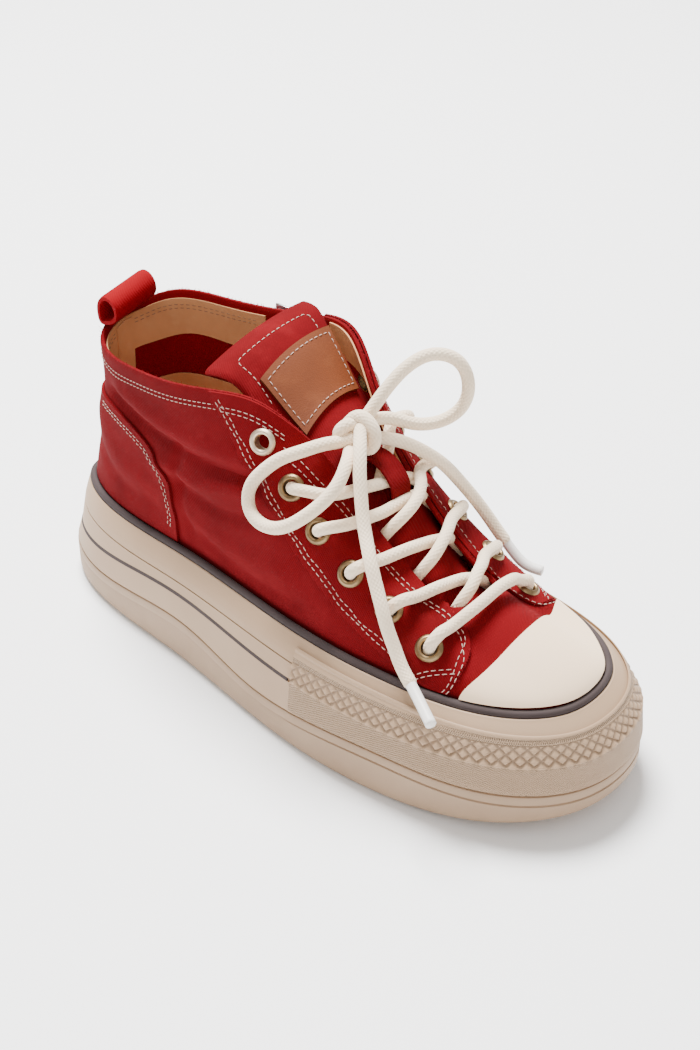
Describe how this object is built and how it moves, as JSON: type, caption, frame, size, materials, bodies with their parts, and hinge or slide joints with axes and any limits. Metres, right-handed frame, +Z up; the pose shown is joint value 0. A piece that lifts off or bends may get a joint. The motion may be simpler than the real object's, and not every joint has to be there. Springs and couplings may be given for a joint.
{
  "type": "high-top sneaker",
  "caption": "High-top lace-up platform sneaker with canvas upper, rubber toe cap, side zip, tongue with leather patch and heel pull loop; one shoe, empty.",
  "frame": {"origin": "on the floor under the sole, at mid-length", "axes": "+X runs from heel to toe, +Y to the medial (inner) side of this right shoe, +Z up"},
  "size_m": [0.2797, 0.1031, 0.1419],
  "materials": {
    "rubber_cream": "matt beige moulded rubber",
    "rubber_outsole": "matt beige tread rubber",
    "rubber_cap": "smooth cream rubber",
    "rubber_dark": "matt dark grey rubber",
    "canvas_red": "matt red cotton canvas",
    "leather_tan": "smooth tan leather",
    "brass": "antique brass",
    "steel": "bright nickel-plated steel",
    "zip_dark": "dark woven tape and coil",
    "lace": "off-white round cotton cord"
  },
  "bodies": {
    "shoe": {"eyelet_lateral_1": "brass", "eyelet_lateral_2": "brass", "eyelet_lateral_3": "brass", "eyelet_lateral_4": "brass", "eyelet_lateral_5": "brass", "eyelet_lateral_6": "brass", "eyelet_medial_1": "brass", "eyelet_medial_2": "brass", "eyelet_medial_3": "brass", "eyelet_medial_4": "brass", "eyelet_medial_5": "brass", "eyelet_medial_6": "brass", "facing_lateral": "canvas_red", "facing_medial": "canvas_red", "foxing": "rubber_cream", "heel_counter": "canvas_red", "insole": "leather_tan", "lace_bar": "lace", "lace_cross_1": "lace", "lace_cross_2": "lace", "lace_cross_3": "lace", "lace_cross_4": "lace", "lace_end_lateral": "lace", "lace_end_medial": "lace", "lace_keeper": "canvas_red", "lace_knot": "lace", "lace_loop_lateral": "lace", "lace_loop_medial": "lace", "midsole": "rubber_cream", "outsole": "rubber_outsole", "pinstripe": "rubber_dark", "piping": "rubber_dark", "pull_loop": "canvas_red", "toe_bumper": "rubber_cream", "toe_cap": "rubber_cap", "tongue": "canvas_red", "tongue_label": "leather_tan", "upper": "canvas_red", "zip_chain": "zip_dark", "zip_slider": "steel"},
    "pull_tab": {"zip_pull_tab": "steel"}
  },
  "joints": [
    {"name": "pull_tab_hinge", "type": "hinge", "parent": "shoe", "child": "pull_tab", "pos_m": [-0.05868, 0.03833, 0.12235], "axis": [0.9998, 0.0215, -0.0006], "range_deg": [0, 150]}
  ]
}
